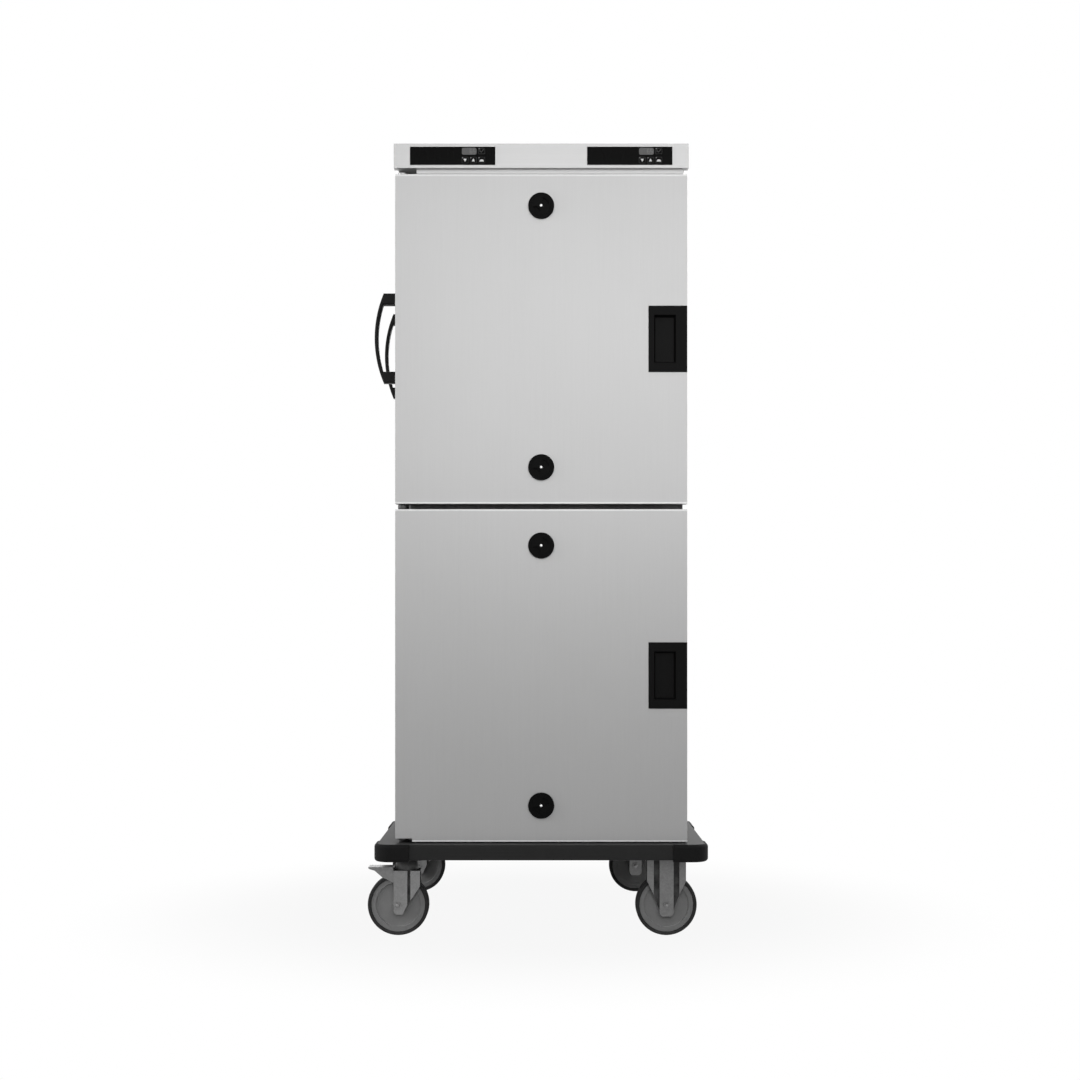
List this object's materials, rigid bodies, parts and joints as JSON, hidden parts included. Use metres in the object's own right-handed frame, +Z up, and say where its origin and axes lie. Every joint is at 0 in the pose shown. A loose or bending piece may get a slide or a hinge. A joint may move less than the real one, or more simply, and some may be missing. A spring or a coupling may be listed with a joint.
{
  "type": "heated food trolley",
  "caption": "Upright insulated heated trolley with an upper and a lower chamber, side-hinged doors, vents, latches, push handles, a control hood and a bumpered base on castors.",
  "frame": {"origin": "middle of the overall box at the floor, under the wheels", "axes": "+X to the right as seen from the doors, +Y to the back, +Z up"},
  "size_m": [0.836, 0.95, 1.925],
  "materials": {
    "tray_steel": "satin",
    "rail_aluminium": "matte",
    "bumper_rubber": "matte",
    "cabinet_steel": "satin",
    "mineral_wool": "matte",
    "chamber_steel": "satin",
    "fascia_steel": "satin",
    "panel_gloss": "gloss",
    "display_window": "gloss",
    "key_plastic": "matte",
    "door_steel": "satin",
    "gasket_rubber": "matte",
    "vent_plastic": "matte",
    "latch_plastic": "matte",
    "lever_plastic": "satin",
    "bracket_steel": "satin",
    "hinge_steel": "satin",
    "handle_plastic": "matte",
    "rack_steel": "satin",
    "fan_aluminium": "satin",
    "motor_paint": "matte",
    "heater_steel": "matte",
    "inlet_plastic": "matte",
    "castor_zinc": "satin",
    "wheel_plastic": "matte",
    "tyre_rubber": "matte"
  },
  "bodies": {
    "trolley": {"base_tray": "tray_steel", "bumper_rails": "rail_aluminium", "rubber_bumpers": "bumper_rubber", "cabinet_shell": "cabinet_steel", "wall_insulation": "mineral_wool", "heated_chambers": "chamber_steel", "top_cover": "cabinet_steel", "control_fascia": "fascia_steel", "control_panels": "panel_gloss", "displays": "display_window", "latch_strikes": "bracket_steel", "hinge_brackets": "hinge_steel", "push_handles": "handle_plastic", "tray_runners": "rack_steel", "fan_motors": "motor_paint", "fan_covers": "chamber_steel", "heater_elements": "heater_steel", "power_inlet": "inlet_plastic", "swivel_plates": "castor_zinc", "fixed_forks": "castor_zinc"},
    "upper_door": {"upper_door_shell": "door_steel", "upper_door_insulation": "mineral_wool", "upper_door_liner": "chamber_steel", "upper_door_gasket": "gasket_rubber", "upper_vent_seats": "vent_plastic", "upper_latch_housing": "latch_plastic"},
    "lower_door": {"lower_door_shell": "door_steel", "lower_door_insulation": "mineral_wool", "lower_door_liner": "chamber_steel", "lower_door_gasket": "gasket_rubber", "lower_vent_seats": "vent_plastic", "lower_latch_housing": "latch_plastic"},
    "upper_door_top_vent": {"upper_door_top_vent": "vent_plastic"},
    "upper_door_bottom_vent": {"upper_door_bottom_vent": "vent_plastic"},
    "lower_door_top_vent": {"lower_door_top_vent": "vent_plastic"},
    "lower_door_bottom_vent": {"lower_door_bottom_vent": "vent_plastic"},
    "upper_latch_lever": {"upper_latch_lever": "lever_plastic"},
    "lower_latch_lever": {"lower_latch_lever": "lever_plastic"},
    "left_menu_key": {"left_menu_key": "key_plastic"},
    "left_down_key": {"left_down_key": "key_plastic"},
    "left_up_key": {"left_up_key": "key_plastic"},
    "left_light_key": {"left_light_key": "key_plastic"},
    "right_menu_key": {"right_menu_key": "key_plastic"},
    "right_down_key": {"right_down_key": "key_plastic"},
    "right_up_key": {"right_up_key": "key_plastic"},
    "right_light_key": {"right_light_key": "key_plastic"},
    "lower_fan": {"lower_fan": "fan_aluminium"},
    "upper_fan": {"upper_fan": "fan_aluminium"},
    "front_swivel": {"front_swivel_fork": "castor_zinc"},
    "front_brake_pedal": {"front_brake_pedal": "castor_zinc"},
    "front_swivel_wheel": {"front_swivel_wheel": "wheel_plastic", "front_swivel_tyre": "tyre_rubber"},
    "rear_swivel": {"rear_swivel_fork": "castor_zinc"},
    "rear_brake_pedal": {"rear_brake_pedal": "castor_zinc"},
    "rear_swivel_wheel": {"rear_swivel_wheel": "wheel_plastic", "rear_swivel_tyre": "tyre_rubber"},
    "front_fixed_wheel": {"front_fixed_wheel": "wheel_plastic", "front_fixed_tyre": "tyre_rubber"},
    "rear_fixed_wheel": {"rear_fixed_wheel": "wheel_plastic", "rear_fixed_tyre": "tyre_rubber"}
  },
  "joints": [
    {"name": "upper_door_hinge", "type": "hinge", "parent": "trolley", "child": "upper_door", "pos_m": [-0.323, -0.408, 0], "axis": [0, 0, -1], "range_deg": [0, 200]},
    {"name": "lower_door_hinge", "type": "hinge", "parent": "trolley", "child": "lower_door", "pos_m": [-0.323, -0.408, 0], "axis": [0, 0, -1], "range_deg": [0, 200]},
    {"name": "upper_door_top_vent_turn", "type": "hinge", "parent": "upper_door", "child": "upper_door_top_vent", "pos_m": [0.014, -0.438, 1.777], "axis": [0, 1, 0], "range_deg": [0, 90]},
    {"name": "upper_door_bottom_vent_turn", "type": "hinge", "parent": "upper_door", "child": "upper_door_bottom_vent", "pos_m": [0.014, -0.438, 1.1435], "axis": [0, 1, 0], "range_deg": [0, 90]},
    {"name": "lower_door_top_vent_turn", "type": "hinge", "parent": "lower_door", "child": "lower_door_top_vent", "pos_m": [0.014, -0.438, 0.954], "axis": [0, 1, 0], "range_deg": [0, 90]},
    {"name": "lower_door_bottom_vent_turn", "type": "hinge", "parent": "lower_door", "child": "lower_door_bottom_vent", "pos_m": [0.014, -0.438, 0.324], "axis": [0, 1, 0], "range_deg": [0, 90]},
    {"name": "upper_latch_press", "type": "hinge", "parent": "upper_door", "child": "upper_latch_lever", "pos_m": [0.3505, -0.4165, 1.45475], "axis": [0, 0, -1], "range_deg": [0, 12], "stiffness_Nm_per_rad": 1},
    {"name": "lower_latch_press", "type": "hinge", "parent": "lower_door", "child": "lower_latch_lever", "pos_m": [0.3505, -0.4165, 0.639], "axis": [0, 0, -1], "range_deg": [0, 12], "stiffness_Nm_per_rad": 1},
    {"name": "left_menu_key_press", "type": "slide", "parent": "trolley", "child": "left_menu_key", "axis": [0, 1, 0], "range_m": [0, 0.0008], "stiffness_N_per_m": 400},
    {"name": "left_down_key_press", "type": "slide", "parent": "trolley", "child": "left_down_key", "axis": [0, 1, 0], "range_m": [0, 0.0008], "stiffness_N_per_m": 400},
    {"name": "left_up_key_press", "type": "slide", "parent": "trolley", "child": "left_up_key", "axis": [0, 1, 0], "range_m": [0, 0.0008], "stiffness_N_per_m": 400},
    {"name": "left_light_key_press", "type": "slide", "parent": "trolley", "child": "left_light_key", "axis": [0, 1, 0], "range_m": [0, 0.0008], "stiffness_N_per_m": 400},
    {"name": "right_menu_key_press", "type": "slide", "parent": "trolley", "child": "right_menu_key", "axis": [0, 1, 0], "range_m": [0, 0.0008], "stiffness_N_per_m": 400},
    {"name": "right_down_key_press", "type": "slide", "parent": "trolley", "child": "right_down_key", "axis": [0, 1, 0], "range_m": [0, 0.0008], "stiffness_N_per_m": 400},
    {"name": "right_up_key_press", "type": "slide", "parent": "trolley", "child": "right_up_key", "axis": [0, 1, 0], "range_m": [0, 0.0008], "stiffness_N_per_m": 400},
    {"name": "right_light_key_press", "type": "slide", "parent": "trolley", "child": "right_light_key", "axis": [0, 1, 0], "range_m": [0, 0.0008], "stiffness_N_per_m": 400},
    {"name": "lower_fan_spin", "type": "hinge", "parent": "trolley", "child": "lower_fan", "pos_m": [0.014, 0.36, 0.64163], "axis": [0, 1, 0], "continuous": true},
    {"name": "upper_fan_spin", "type": "hinge", "parent": "trolley", "child": "upper_fan", "pos_m": [0.014, 0.36, 1.45538], "axis": [0, 1, 0], "continuous": true},
    {"name": "front_castor_swivel", "type": "hinge", "parent": "trolley", "child": "front_swivel", "pos_m": [-0.316, -0.363, 0.17], "axis": [0, 0, 1], "continuous": true},
    {"name": "front_brake_press", "type": "hinge", "parent": "front_swivel", "child": "front_brake_pedal", "pos_m": [-0.304, -0.363, 0.15], "axis": [0, -1, 0], "range_deg": [0, 11]},
    {"name": "front_swivel_wheel_roll", "type": "hinge", "parent": "front_swivel", "child": "front_swivel_wheel", "pos_m": [-0.337, -0.363, 0.075], "axis": [0, 1, 0], "continuous": true},
    {"name": "rear_castor_swivel", "type": "hinge", "parent": "trolley", "child": "rear_swivel", "pos_m": [-0.316, 0.363, 0.17], "axis": [0, 0, 1], "continuous": true},
    {"name": "rear_brake_press", "type": "hinge", "parent": "rear_swivel", "child": "rear_brake_pedal", "pos_m": [-0.304, 0.363, 0.15], "axis": [0, -1, 0], "range_deg": [0, 11]},
    {"name": "rear_swivel_wheel_roll", "type": "hinge", "parent": "rear_swivel", "child": "rear_swivel_wheel", "pos_m": [-0.337, 0.363, 0.075], "axis": [0, 1, 0], "continuous": true},
    {"name": "front_fixed_wheel_roll", "type": "hinge", "parent": "trolley", "child": "front_fixed_wheel", "pos_m": [0.321, -0.363, 0.075], "axis": [0, 1, 0], "continuous": true},
    {"name": "rear_fixed_wheel_roll", "type": "hinge", "parent": "trolley", "child": "rear_fixed_wheel", "pos_m": [0.284, 0.363, 0.075], "axis": [0, 1, 0], "continuous": true}
  ]
}
